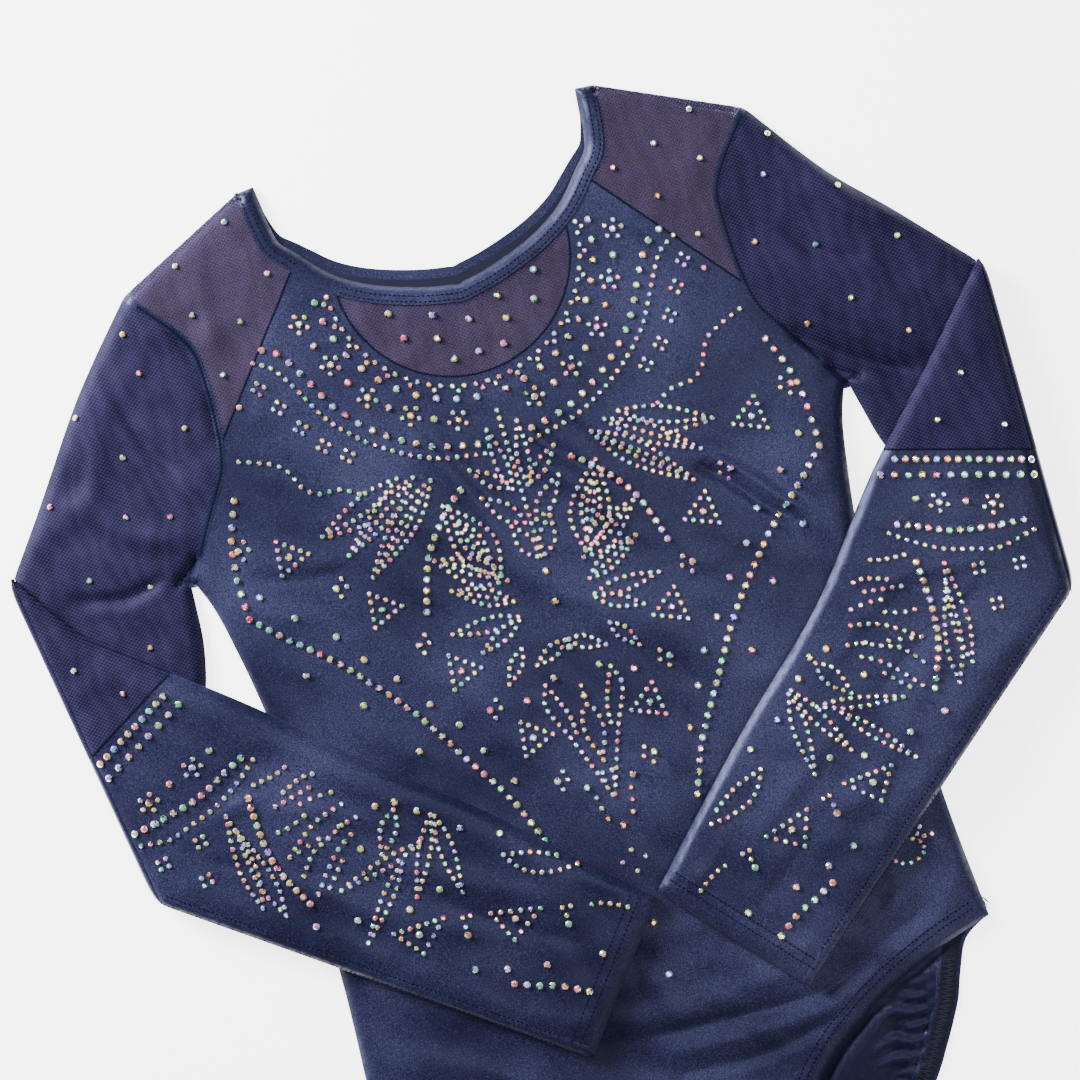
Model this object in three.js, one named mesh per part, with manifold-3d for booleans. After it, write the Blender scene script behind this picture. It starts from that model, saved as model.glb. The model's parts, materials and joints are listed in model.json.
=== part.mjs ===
// A long-sleeved gymnastics leotard, laid flat on its back with both sleeves folded over at the elbow.
// Millimetres, +Z up. X runs across the garment (the wearer's left is +X), +Y runs towards the neck.
// Every cloth piece is a flat panel, and two layers of cloth enclose the flattened body and sleeves.
import * as THREE from 'three';
import { mergeVertices } from 'three/addons/utils/BufferGeometryUtils.js';
import Module from 'manifold-3d';

// ---- Driving dimensions ----

// cloth and the space between its two layers
const cloth = 1.0;
const lining = 0.5;
const hollow = 6.0;
const seamGap = 0.3;
const foldGap = 0.4;

// torso, as half widths and as lengths down from the neck points
const neckHalf = 94;
const frontNeckDepth = 85;
const backNeckDepth = 79;
const shoulderHalf = 161;
const shoulderDrop = 32;
const chestHalf = 134;
const chestDown = 85;
const underarmHalf = 170;
const underarmDown = 181;
const waistHalf = 156;
const waistDown = 300;
const hipHalf = 162;
const hipDown = 456;
const crotchHalf = 33;
const bodyLength = 600;

// trims
const bindingWidth = 9;
const neckElasticWidth = 6;
const legHemWidth = 12;
const legElasticWidth = 8;
const cuffHemWidth = 12.5;
const sideSeamWidth = 2.5;
const armholeSeamWidth = 3;
const underarmRidge = 5.5;
const crotchSeamWidth = 4;
const gussetLength = 95;
const tabDepth = 3;
const insetRadius = 60;
const insetDown = 61.5;

// sleeves as they lie: the elbow fold runs from its outer end down to its lower end.
// Each place is an outward distance from the centre line and a length down from the neck points.
const rightSleeve = {
  side: -1, name: 'right',
  foldOuter: [256.5, 152], foldLower: [232, 329],
  outerEdge: [[199, 74], [234, 122]], underEdge: [[182, 235]],
  upperEdge: [[232, 188], [198, 217], [157, 251], [116, 289], [71, 326], [34, 361]],
  cuffInner: [-5, 398], cuffOuter: [48.8, 465],
  joinAtFold: [246, 250], joinOnForearm: [201, 224], joinUnderneath: [204, 281],
};
const leftSleeve = {
  side: 1, name: 'left',
  foldOuter: [252, 140], foldLower: [247.5, 312],
  outerEdge: [[192, 74], [219, 103]], underEdge: [[190, 235]],
  upperEdge: [[235, 158], [210, 185], [169, 228], [124, 282], [78, 324], [43, 358]],
  cuffInner: [6.5, 395], cuffOuter: [64.9, 462],
  joinAtFold: [250, 239], joinOnForearm: [210, 227], joinUnderneath: [212, 258],
};

// ---- Heights of the layers ----

const backLayer = [0, cloth];
const frontLayer = [cloth + hollow, 2 * cloth + hollow];
const liningLayer = [frontLayer[0] - seamGap - lining, frontLayer[0] - seamGap];
const backElasticLayer = [cloth + seamGap, cloth + seamGap + lining];
const betweenLayers = [cloth + seamGap, frontLayer[0] - seamGap];
const wholeLayer = [0, frontLayer[1]];
const forearmLift = frontLayer[1] + foldGap;

// ---- Solids: extruded outlines, joined and cut ----

const wasm = await Module();
wasm.setup();

const at = (across, down) => new THREE.Vector2(across, -down);
const flip = (points) => points.map((p) => new THREE.Vector2(-p.x, p.y)).reverse();
const curve = (points, steps = 3) =>
  new THREE.SplineCurve(points).getPoints(steps * (points.length - 1));

function solidOf(geometry) {
  geometry.deleteAttribute('normal');
  geometry.deleteAttribute('uv');
  const merged = mergeVertices(geometry, 1e-3);
  return new wasm.Manifold(new wasm.Mesh({
    numProp: 3,
    vertProperties: new Float32Array(merged.attributes.position.array),
    triVerts: new Uint32Array(merged.index.array),
  }));
}

function panel(outline, [low, high]) {
  const geometry = new THREE.ExtrudeGeometry(new THREE.Shape(outline), {
    depth: high - low, bevelEnabled: false,
  });
  geometry.translate(0, 0, low);
  return solidOf(geometry);
}

// the path moved sideways, to its left for a positive distance
function beside(path, distance) {
  return path.map((point, i) => {
    const before = path[Math.max(i - 1, 0)];
    const after = path[Math.min(i + 1, path.length - 1)];
    const along = after.clone().sub(before).normalize();
    return new THREE.Vector2(point.x - along.y * distance, point.y + along.x * distance);
  });
}

// the path carried straight on past both of its ends
function extended(path, length) {
  const reach = (end, inner) => end.clone().add(end.clone().sub(inner).setLength(length));
  return [reach(path[0], path[1]), ...path, reach(path.at(-1), path.at(-2))];
}

// a strip of cloth between two distances beside a path
const strip = (path, from, to, layer) =>
  panel([...beside(path, from), ...beside(path, to).reverse()], layer);

// everything on the left of a line, starting a distance away from it
function leftOf(line, distance, layer) {
  const far = 900;
  const edge = beside(extended(line, far), distance);
  const away = edge.at(-1).clone().sub(edge[0]).normalize();
  const shift = new THREE.Vector2(-away.y, away.x).multiplyScalar(far);
  return panel([...edge, edge.at(-1).clone().add(shift), edge[0].clone().add(shift)], layer);
}

const group = new THREE.Group();

function add(name, solid, color, roughness = 0.8) {
  const mesh = solid.getMesh();
  const geometry = new THREE.BufferGeometry();
  geometry.setAttribute('position', new THREE.BufferAttribute(new Float32Array(mesh.vertProperties), 3));
  geometry.setIndex(new THREE.BufferAttribute(new Uint32Array(mesh.triVerts), 1));
  geometry.computeVertexNormals();
  const material = new THREE.MeshStandardMaterial({ color, roughness, metalness: 0 });
  const node = new THREE.Mesh(geometry, material);
  node.name = name;
  group.add(node);
}

const navySatin = 0x252f5e;
const navyMesh = 0x23204d;
const plumMesh = 0x5d4a5f;
const nudeLining = 0xb99a84;
const navyTrim = 0x1a2149;

// ---- Torso outlines, each drawn on the wearer's left from the centre line outwards ----

function neckline(depth) {
  return curve([
    at(0, depth), at(0.21 * neckHalf, 0.953 * depth), at(0.48 * neckHalf, 0.847 * depth),
    at(0.69 * neckHalf, 0.706 * depth), at(0.85 * neckHalf, 0.518 * depth),
    at(0.957 * neckHalf, 0.353 * depth), at(neckHalf, 0),
  ]);
}

const frontNeck = neckline(frontNeckDepth);
const backNeck = neckline(backNeckDepth);
const shoulderEnd = at(shoulderHalf, shoulderDrop);
const underarm = at(underarmHalf, underarmDown);
const hip = at(hipHalf, hipDown);
const crotchEdge = at(crotchHalf, bodyLength - 25);
const crotchEnd = at(crotchHalf - 1, bodyLength - crotchSeamWidth - seamGap);
const armhole = curve([
  shoulderEnd, at(chestHalf + 4, 62), at(chestHalf, chestDown), at(chestHalf + 3, 125),
  at(chestHalf + 14, 146), underarm,
]);
const sideEdge = curve([
  underarm, at(waistHalf + 7, underarmDown + 22), at(waistHalf - 1, underarmDown + 76),
  at(waistHalf, waistDown), at(waistHalf + 2, hipDown - 60), hip,
]);
const frontLegEdge = curve([
  hip, at(hipHalf - 32, hipDown + 10), at(hipHalf - 67, hipDown + 26), at(hipHalf - 100, hipDown + 50),
  at(crotchHalf + 10, hipDown + 80), crotchEdge, crotchEnd,
]);
const backLegEdge = curve([
  hip, at(hipHalf - 14, hipDown + 8), at(hipHalf - 22, hipDown + 24), at(hipHalf - 31, hipDown + 44),
  at(hipHalf - 60, hipDown + 84), at(crotchHalf + 20, hipDown + 112), crotchEnd,
]);

function wholePanel(neck, legEdge, layer) {
  const half = [...neck, ...armhole, ...sideEdge.slice(1), ...legEdge.slice(1)];
  return panel([...half, ...flip(half).slice(0, -1)], layer);
}

const wholeFront = wholePanel(frontNeck, frontLegEdge, frontLayer);
const wholeBack = wholePanel(backNeck, backLegEdge, backLayer);

const legBand = (edge, from, width, layer) => strip(edge, from, -width, layer);
const bothSides = (solid) => solid.add(solid.mirror([1, 0, 0]));

const legCut = (edge, layer) =>
  bothSides(legBand(extended(edge, 20), 20, legHemWidth + seamGap, layer));

// ---- Neck inset, shoulder yokes and bodice ----

const insetDisc = (radius) => {
  const disc = new THREE.CylinderGeometry(radius, radius, 3 * frontLayer[1], 64);
  disc.rotateX(Math.PI / 2);
  disc.translate(0, -insetDown, 0);
  return solidOf(disc);
};
const yokeLine = [at(0.83 * neckHalf, 0.53 * frontNeckDepth), at(chestHalf, chestDown + 29)];
const backYokeLine = curve([at(-chestHalf, 104), at(0, 122), at(chestHalf, 104)]);

const frontWithoutHems = wholeFront.subtract(legCut(frontLegEdge, frontLayer));
const leftYoke = wholeFront.intersect(leftOf(yokeLine, seamGap / 2, frontLayer));
const yokes = { left: leftYoke, right: leftYoke.mirror([1, 0, 0]) };
const aboveYokes = bothSides(leftOf(yokeLine, -seamGap / 2, frontLayer));

const bodice = frontWithoutHems.subtract(insetDisc(insetRadius + seamGap)).subtract(aboveYokes);
add('front_body', bodice, navySatin);
add('neck_inset_mesh', wholeFront.intersect(insetDisc(insetRadius)), plumMesh);
add('right_shoulder_mesh', yokes.right, plumMesh);
add('left_shoulder_mesh', yokes.left, plumMesh);

const backYokeRegion = leftOf(backYokeLine, seamGap / 2, backLayer);
const backBelowYoke = leftOf([...backYokeLine].reverse(), seamGap / 2, backLayer);
const backWithoutHems = wholeBack.subtract(legCut(backLegEdge, backLayer));
add('back_body', backWithoutHems.intersect(backBelowYoke), navySatin);
add('back_yoke_mesh', wholeBack.intersect(backYokeRegion), plumMesh);

// the nude lining behind both yokes and the inset stops short of every seam and of the neck elastic
const liningMargin = sideSeamWidth + 2 * seamGap;
const liningTop = beside(frontNeck, -liningMargin);
const liningHalf = [
  ...liningTop.slice(0, -1),
  at(neckHalf + liningMargin, 8),
  at(shoulderHalf - 8, shoulderDrop + 6),
  ...beside(armhole, -liningMargin)
    .filter((p) => -p.y > shoulderDrop + 12 && -p.y < insetDown + insetRadius),
  at(insetRadius + 20, insetDown + insetRadius + 2),
];
add('yoke_lining', panel([...liningHalf, ...flip(liningHalf).slice(0, -1)], liningLayer), nudeLining);

// ---- Neck binding and the elastic inside it ----

// a loop of two bands, joined through the hollow by a tab at each neck point
function neckLoop(from, to, tabTop, frontZ, backZ) {
  const around = (neck, layer) => strip([...flip(neck), ...neck.slice(1)], from, to, layer);
  const aboveTab = panel([
    at(-neckHalf, -tabTop - 1), at(neckHalf, -tabTop - 1), at(neckHalf, tabTop), at(-neckHalf, tabTop),
  ], wholeLayer);
  const tab = panel([
    at(neckHalf - to, tabTop), at(neckHalf - from, tabTop),
    at(neckHalf - from, tabTop + tabDepth), at(neckHalf - to, tabTop + tabDepth),
  ], [backZ[0], frontZ[1]]);
  const bands = around(frontNeck, frontZ).add(around(backNeck, backZ));
  return (tabTop > 0 ? bands.subtract(aboveTab) : bands).add(bothSides(tab));
}
const elasticMargin = (bindingWidth - neckElasticWidth) / 2 + seamGap;
const binding = neckLoop(seamGap, seamGap + bindingWidth, 0, frontLayer, backLayer);
const neckElastic = neckLoop(
  elasticMargin, elasticMargin + neckElasticWidth, tabDepth + seamGap, liningLayer, backElasticLayer,
);
add('neck_binding', binding, navyTrim, 0.6);
add('neck_elastic', neckElastic, navyTrim);

// ---- Seams that close the torso ----

const alongShoulder = (across) =>
  at(across, shoulderDrop * (across - neckHalf) / (shoulderHalf - neckHalf));
const shoulderLine = [alongShoulder(neckHalf + sideSeamWidth), alongShoulder(shoulderHalf - sideSeamWidth)];
const hemZone = (edge, from, to, layer) => legBand(extended(edge, 20), -from, to, layer);
const legClearance = legHemWidth + seamGap;
const sideSeam = strip(sideEdge.slice(1), 0, -sideSeamWidth, betweenLayers)
  .subtract(hemZone(frontLegEdge, -20, legClearance, wholeLayer))
  .subtract(hemZone(backLegEdge, -20, legClearance, wholeLayer));
const shoulderSeam = strip(shoulderLine, 0, -sideSeamWidth, betweenLayers);
const armholeRing = strip(armhole, seamGap, seamGap + armholeSeamWidth, wholeLayer)
  .subtract(strip(armhole.slice(1, -1), -1, armholeSeamWidth + 2, betweenLayers));

// ---- Leg hems and elastics, gusset and crotch ----

const legHem = hemZone(frontLegEdge, 0, legHemWidth, frontLayer).intersect(wholeFront)
  .add(hemZone(backLegEdge, 0, legHemWidth, backLayer).intersect(wholeBack))
  .add(strip(sideEdge.slice(-3), 0, -cloth, wholeLayer)
    .intersect(hemZone(frontLegEdge, 0, legHemWidth, wholeLayer)));
const legMargin = (legHemWidth - legElasticWidth) / 2;
const beyondSide = strip(extended(sideEdge.slice(-3), 20), 5, -(cloth + seamGap), wholeLayer);
const legElasticBand = (edge, layer) => strip(edge, -legMargin, -legMargin - legElasticWidth, layer);
const pastCrotch = panel([
  at(-hipHalf, bodyLength - crotchSeamWidth - seamGap), at(hipHalf, bodyLength - crotchSeamWidth - seamGap),
  at(hipHalf, bodyLength + hipHalf), at(-hipHalf, bodyLength + hipHalf),
], wholeLayer);
const legElastic = legElasticBand(frontLegEdge, liningLayer)
  .add(legElasticBand(backLegEdge, backElasticLayer))
  .subtract(beyondSide)
  .subtract(pastCrotch)
  .add(strip(sideEdge.slice(-3), -(cloth + seamGap), -(2 * cloth + seamGap), wholeLayer)
    .intersect(legElasticBand(frontLegEdge, [backElasticLayer[0], liningLayer[1]])));
for (const [name, solid, color] of [
  ['side_seam', sideSeam, navyTrim],
  ['shoulder_seam', shoulderSeam, navyTrim],
  ['armhole_seam', armholeRing, navyTrim],
  ['leg_hem', legHem, navySatin],
  ['leg_elastic', legElastic, navyTrim],
]) {
  add(`right_${name}`, solid.mirror([1, 0, 0]), color);
  add(`left_${name}`, solid, color);
}

const gussetEdge = beside(frontLegEdge, -legClearance).filter((p) => -p.y > bodyLength - gussetLength);
const gusset = panel([...gussetEdge, ...flip(gussetEdge)], liningLayer).subtract(pastCrotch);
add('gusset_lining', gusset, nudeLining);
add('crotch_seam', panel([
  at(-crotchHalf + 1, bodyLength - crotchSeamWidth), at(crotchHalf - 1, bodyLength - crotchSeamWidth),
  at(crotchHalf - 1, bodyLength), at(1 - crotchHalf, bodyLength),
], wholeLayer), navySatin);

// ---- Sleeves: a lower level from armhole to elbow fold, and the forearm folded over on top ----

// a flattened tube of cloth between two edges, open at both of its ends
const tube = (outline, inside, [low, high]) =>
  panel(outline, [low, high]).subtract(panel(inside, [low + cloth, high - cloth]));

for (const sleeve of [rightSleeve, leftSleeve]) {
  const place = (name, solid, color) =>
    add(`${sleeve.name}_${name}`, sleeve.side < 0 ? solid.mirror([1, 0, 0]) : solid, color);
  const points = (list) => list.map(([across, down]) => at(across, down));
  const [foldOuter, foldLower] = points([sleeve.foldOuter, sleeve.foldLower]);
  const forearmLayer = [forearmLift, forearmLift + frontLayer[1]];
  const inFromFold = (layer) => leftOf([foldOuter, foldLower].reverse(), seamGap / 2, layer);

  // upper arm
  const start = beside(armhole, 2 * seamGap + armholeSeamWidth);
  const throat = beside(armhole, -hollow);
  const outerEdge = extended(curve([start[0], ...points(sleeve.outerEdge), foldOuter]), 20).slice(1);
  const underEdge = extended(curve([start.at(-1), ...points(sleeve.underEdge), foldLower]), 20).slice(1);
  const tubeUnder = beside(underEdge, underarmRidge + seamGap);
  const upperArm = tube(
    [...start.slice(0, -1), ...tubeUnder, ...[...outerEdge].reverse()],
    [...throat, ...beside(tubeUnder, cloth), ...beside(outerEdge, -cloth).reverse()],
    wholeLayer,
  ).intersect(inFromFold(wholeLayer));
  const joinUnder = points([sleeve.joinAtFold, sleeve.joinUnderneath]);
  const tailSide = leftOf(joinUnder, seamGap / 2, wholeLayer);
  const meshSide = leftOf([...joinUnder].reverse(), seamGap / 2, wholeLayer);
  place('upper_sleeve', upperArm.intersect(meshSide), navyMesh);
  place('sleeve_tail', upperArm.intersect(tailSide), navySatin);
  place('upper_underarm_seam',
    strip(underEdge, 0, underarmRidge, wholeLayer).intersect(inFromFold(wholeLayer)), navyTrim);

  // forearm
  const upperEdge = curve([foldOuter, ...points(sleeve.upperEdge), at(...sleeve.cuffInner)]);
  const lowerEdge = [foldLower, at(...sleeve.cuffOuter)];
  const cuffLine = [at(...sleeve.cuffInner), at(...sleeve.cuffOuter)];
  const tubeLower = beside(lowerEdge, -underarmRidge - seamGap);
  const long = (path) => extended(path, 30);
  const inFromCuff = (distance) => leftOf(cuffLine, distance, forearmLayer);
  const inside = [
    ...beside(long(upperEdge), cloth), ...beside(long(tubeLower), -cloth).reverse(),
  ];
  const forearm = tube([...long(upperEdge), ...long(tubeLower).reverse()], inside, forearmLayer)
    .intersect(inFromFold(forearmLayer)).intersect(inFromCuff(0));
  const join = points([sleeve.joinAtFold, sleeve.joinOnForearm]);
  place('elbow_mesh', forearm.intersect(leftOf([...join].reverse(), seamGap / 2, forearmLayer)), navyMesh);
  place('forearm_sleeve', forearm.intersect(leftOf(join, seamGap / 2, forearmLayer))
    .intersect(inFromCuff(cuffHemWidth + seamGap)), navySatin);
  place('cuff_hem', forearm.subtract(inFromCuff(cuffHemWidth)), navySatin);
  place('forearm_seam', strip(long(lowerEdge), 0, -underarmRidge, forearmLayer)
    .intersect(inFromFold(forearmLayer)).intersect(inFromCuff(0)), navyTrim);
}

// ---- Origin: the middle of the underside ----

const box = new THREE.Box3().setFromObject(group);
const middle = box.getCenter(new THREE.Vector3());
group.position.set(-middle.x, -middle.y, -box.min.z);

export default group;
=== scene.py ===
import collections
import functools
import json
import math
import random

import bpy
import numpy as np
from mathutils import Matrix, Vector
from mathutils.geometry import delaunay_2d_cdt


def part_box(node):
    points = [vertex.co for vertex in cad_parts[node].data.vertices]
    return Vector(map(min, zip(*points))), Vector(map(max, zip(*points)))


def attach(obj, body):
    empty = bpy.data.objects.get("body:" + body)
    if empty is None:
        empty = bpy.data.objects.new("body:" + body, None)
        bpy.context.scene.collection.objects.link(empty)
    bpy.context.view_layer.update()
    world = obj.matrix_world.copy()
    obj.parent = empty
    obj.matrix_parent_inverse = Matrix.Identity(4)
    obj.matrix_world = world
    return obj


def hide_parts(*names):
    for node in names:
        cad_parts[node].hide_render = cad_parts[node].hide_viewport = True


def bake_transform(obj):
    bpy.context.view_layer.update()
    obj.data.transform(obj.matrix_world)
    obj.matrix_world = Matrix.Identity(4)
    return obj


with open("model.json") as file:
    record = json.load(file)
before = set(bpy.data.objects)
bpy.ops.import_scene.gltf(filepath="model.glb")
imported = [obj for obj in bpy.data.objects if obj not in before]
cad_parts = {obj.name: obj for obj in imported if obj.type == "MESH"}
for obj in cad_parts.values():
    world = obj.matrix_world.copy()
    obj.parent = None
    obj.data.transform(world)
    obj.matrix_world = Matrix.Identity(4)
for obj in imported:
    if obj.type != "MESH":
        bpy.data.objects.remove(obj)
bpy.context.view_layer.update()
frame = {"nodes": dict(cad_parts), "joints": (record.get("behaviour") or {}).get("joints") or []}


# ---- Camera ----
# It hangs straight over the garment and is turned a little, so that the leotard lies at a slant.
# Places on the garment are given across from the centre line and down from the neck points, in mm.

MM = 0.001
CENTRE_LINE = (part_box("front_body")[0][0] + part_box("front_body")[1][0]) / 2
NECK_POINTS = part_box("left_shoulder_mesh")[1][1]


def lay(across, down):
    return np.array([CENTRE_LINE + across * MM, NECK_POINTS - down * MM])


def placed(name, data):
    """A new object in the scene that shows a mesh, a lamp or a camera."""
    made = bpy.data.objects.new(name, data)
    bpy.context.scene.collection.objects.link(made)
    return made


VIEW_WIDTH = 540 * MM
SLANT = math.radians(-17)
LENS = 85
SENSOR = 36
looked_at = lay(1.6, 210.4)
camera = placed("camera", bpy.data.cameras.new("camera"))
camera.data.lens = LENS
camera.data.sensor_width = SENSOR
camera.location = (looked_at[0], looked_at[1], VIEW_WIDTH * LENS / SENSOR + 8 * MM)
camera.rotation_euler = (0, 0, SLANT)
bpy.context.scene.camera = camera


# ---- Floor and light ----
# A plain white table, and three soft lamps. The smallest and strongest stands low on one side, so
# that the folds of the cloth show.

def tune(node, values):
    """Sets a shader node's inputs by their names."""
    for name, value in values.items():
        node.inputs[name].default_value = value


def surface(material):
    return material.node_tree.nodes["Principled BSDF"]


def plain_material(name, colour, roughness):
    made = bpy.data.materials.new(name)
    made.use_nodes = True
    tune(surface(made), {"Base Color": (*colour, 1), "Roughness": roughness})
    return made


def soft_lamp(name, place, size, power):
    light = bpy.data.lights.new(name, "AREA")
    light.size = size
    light.energy = power
    lamp = placed(name, light)
    lamp.location = place
    lamp.rotation_euler = (Vector((0, 0, 0)) - Vector(place)).to_track_quat("-Z", "Y").to_euler()


bpy.ops.mesh.primitive_plane_add(size=8)
table = bpy.context.object
table.name = "white_table"
table_white = plain_material("table_white", (0.97, 0.97, 0.98), 0.9)
tune(surface(table_white), {"Emission Color": (1, 1, 1, 1), "Emission Strength": 3.5})
table.data.materials.append(table_white)
soft_lamp("side_lamp", (-0.9, 1.1, 0.66), 0.5, 92)
soft_lamp("top_lamp", (0.5, 0.2, 1.9), 1.2, 18)
soft_lamp("far_lamp", (1.0, -1.2, 1.1), 1.2, 9)
world = bpy.data.worlds.new("studio")
bpy.context.scene.world = world
world.use_nodes = True
tune(world.node_tree.nodes["Background"], {"Color": (0.93, 0.95, 1.0, 1), "Strength": 0.3})


# ---- Back panel and back yoke ----
# The back is a satin-faced spandex panel with a mesh yoke at the shoulders. It lies face down on the
# table, under everything else. Each piece of cloth is cut to the outline of its solid.

FABRIC = 0.45 * MM
CLOTH_POINTS = 2.7 * MM
SEAM_TUCK = 0.22 * MM
FOLD_GAP = 0.35 * MM
FOLD_REACH = 2 * MM
SHARP_CORNER = math.radians(32)


def face_outlines(node, side):
    """The closed outlines of a node's flat top or bottom face."""
    mesh = frame["nodes"][node].data
    places = np.array([v.co for v in mesh.vertices])
    level = places[:, 2].max() if side == "top" else places[:, 2].min()
    keys = [tuple(k) for k in (places * 1e6).round().astype(int)]
    border = {}
    for face in mesh.polygons:
        if all(abs(places[i][2] - level) < 1e-5 for i in face.vertices):
            ring = [keys[i] for i in face.vertices]
            for start, end in zip(ring, ring[1:] + ring[:1]):
                if border.pop((end, start), None) is None:
                    border[(start, end)] = True
    follow = dict(border.keys())
    outlines = []
    while follow:
        first, here = next(iter(follow.items()))
        del follow[first]
        ring = [first]
        while here != first:
            ring.append(here)
            here = follow.pop(here)
        outline = np.array(ring)[:, :2] * 1e-6
        outlines.append(outline if signed_area(outline) > 0 else outline[::-1])
    return outlines


def signed_area(outline):
    x, y = outline.T
    return 0.5 * float(np.sum(x * np.roll(y, -1) - np.roll(x, -1) * y))


def outer(node, side="top"):
    """The outer outline of a node's flat top or bottom face."""
    return max(face_outlines(node, side), key=signed_area)


def flowing(outline, step=CLOTH_POINTS):
    """The outline as a smooth curve that keeps its sharp corners."""
    ahead = np.roll(outline, -1, 0) - outline
    behind = outline - np.roll(outline, 1, 0)
    heading = np.arctan2(ahead[:, 1], ahead[:, 0]) - np.arctan2(behind[:, 1], behind[:, 0])
    sharp = abs((heading + math.pi) % (2 * math.pi) - math.pi) > SHARP_CORNER
    span = np.linalg.norm(ahead, axis=1)
    points = []
    for i in range(len(outline)):
        j = (i + 1) % len(outline)
        along_start = ahead[i] / span[i]
        along_end = along_start
        if not sharp[i]:
            along_start = (behind[i] + ahead[i]) / (span[i - 1] + span[i])
        if not sharp[j]:
            along_end = (behind[j] + ahead[j]) / (span[i] + span[j])
        for t in np.arange(0, 1 - 1e-9, 1 / max(1, round(span[i] / step))):
            curve = (2 * t**3 - 3 * t**2 + 1) * outline[i] + (3 * t**2 - 2 * t**3) * outline[j]
            curve = curve + (t**3 - 2 * t**2 + t) * span[i] * along_start
            points.append(curve + (t**3 - t**2) * span[i] * along_end)
    return np.array(points)


def let_out(outline, margin):
    """The outline moved outwards by a margin."""
    along = np.roll(outline, -1, 0) - np.roll(outline, 1, 0)
    along /= np.linalg.norm(along, axis=1)[:, None] + 1e-12
    return outline + margin * np.stack([along[:, 1], -along[:, 0]], 1)


def inside(points, outline):
    x, y = points[:, 0, None], points[:, 1, None]
    ax, ay = outline.T
    bx, by = np.roll(outline, -1, 0).T
    rise = np.where(by == ay, 1e-12, by - ay)
    crossed = ((ay > y) != (by > y)) & (x < (bx - ax) * (y - ay) / rise + ax)
    return crossed.sum(1) % 2 == 1


def distance_to(points, starts, ends):
    """How far each point is from the nearest of some straight stretches."""
    nearest = np.full(len(points), 1.0)
    along = ends - starts
    length2 = np.maximum((along**2).sum(1), 1e-14)
    for first in range(0, len(points), 4000):
        some = points[first:first + 4000, None, :] - starts[None]
        t = np.clip((some * along).sum(2) / length2, 0, 1)
        gap = np.linalg.norm(some - t[..., None] * along, axis=2)
        nearest[first:first + 4000] = gap.min(1)
    return nearest


def cut_cloth(outline, spacing):
    """Points and triangles that fill an outline evenly."""
    low, high = outline.min(0), outline.max(0)
    rows = []
    for k, y in enumerate(np.arange(low[1], high[1], spacing * 0.866)):
        x = np.arange(low[0] + (k % 2) * spacing / 2, high[0], spacing)
        rows.append(np.column_stack([x, np.full(len(x), y)]))
    inner = np.concatenate(rows)
    inner = inner[inside(inner, outline)]
    clear = distance_to(inner, outline, np.roll(outline, -1, 0)) > 0.55 * spacing
    points = np.concatenate([outline, inner[clear]])
    ring = list(range(len(outline)))
    edges = list(zip(ring, ring[1:] + ring[:1]))
    flat, _, faces, *_ = delaunay_2d_cdt([Vector(p) for p in points], edges, [], 1, 1e-7)
    return np.array(flat), faces


# each elbow fold is a line in the plan view, which the hinge of that sleeve turns about
fold_lines = {}
for joint in frame["joints"]:
    fold_lines[joint["child"]] = (np.array(joint["pos_m"][:2]), np.array(joint["axis"][:2]))


def clear_of_folds(outline):
    """Keeps an outline just short of the elbow folds, so that the opened sleeve's ends don't cross."""
    for place, direction in fold_lines.values():
        outward = np.array([direction[1], -direction[0]])
        outward = outward * np.sign(outward @ (place - lay(0, 150)))
        past = (outline - place) @ outward
        near = (past > -FOLD_GAP) & (past < FOLD_REACH)
        outline = outline - np.where(near, past + FOLD_GAP, 0)[:, None] * outward
    return outline


def cloth_piece(name, cloth, sheets, spacing=CLOTH_POINTS, thickness=FABRIC):
    """One cloth object from (outline, height function, faces up or down) sheets."""
    places, faces = [], []
    flat_area = 0
    for outline, height, faces_up in sheets:
        smooth = clear_of_folds(let_out(flowing(outline, spacing), SEAM_TUCK))
        flat_area += signed_area(smooth)
        flat, triangles = cut_cloth(smooth, spacing)
        start = sum(len(p) for p in places)
        places.append(np.column_stack([flat, height(flat)]))
        for triangle in triangles:
            ring = [start + i for i in triangle]
            faces.append(ring if faces_up else ring[::-1])
    mesh = bpy.data.meshes.new(name)
    mesh.from_pydata(np.concatenate(places).tolist(), [], faces)
    mesh.materials.append(cloth)
    mesh.shade_smooth()
    sides = collections.Counter(key for face in mesh.polygons for key in face.edge_keys)
    rims = [sides[edge.key] == 1 for edge in mesh.edges]
    mesh.attributes.new("sharp_edge", "BOOLEAN", "EDGE").data.foreach_set("value", rims)
    piece = placed(name, mesh)
    shell = piece.modifiers.new("cloth thickness", "SOLIDIFY")
    shell.thickness = thickness
    shell.offset = -1
    piece["flat_area"] = flat_area
    return piece


def declare(piece, body, nodes=(), width=None):
    """Hangs a cloth piece on the body that it rides on and hides the solids that it stands for."""
    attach(piece, body)
    if nodes:
        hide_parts(*nodes)
    if width:
        return


# The body and the upper sleeves lie in one level, and each forearm lies in a level on top of it.
# A level's edges are those of its pieces that no other piece of the level joins.

FRONT_PIECES = ["front_body", "neck_inset_mesh", "right_shoulder_mesh", "left_shoulder_mesh",
                "neck_binding", "right_leg_hem", "left_leg_hem"]
SLEEVE_PIECES = [f"{side}_{part}" for side in ("right", "left") for part in
                 ("armhole_seam", "upper_sleeve", "sleeve_tail", "upper_underarm_seam")]
BACK_PIECES = ["back_body", "back_yoke_mesh", "neck_binding", "right_leg_hem", "left_leg_hem"]
FOREARM_PIECES = ["elbow_mesh", "forearm_sleeve", "cuff_hem", "forearm_seam"]
JOIN_GAP = 0.7 * MM


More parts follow.
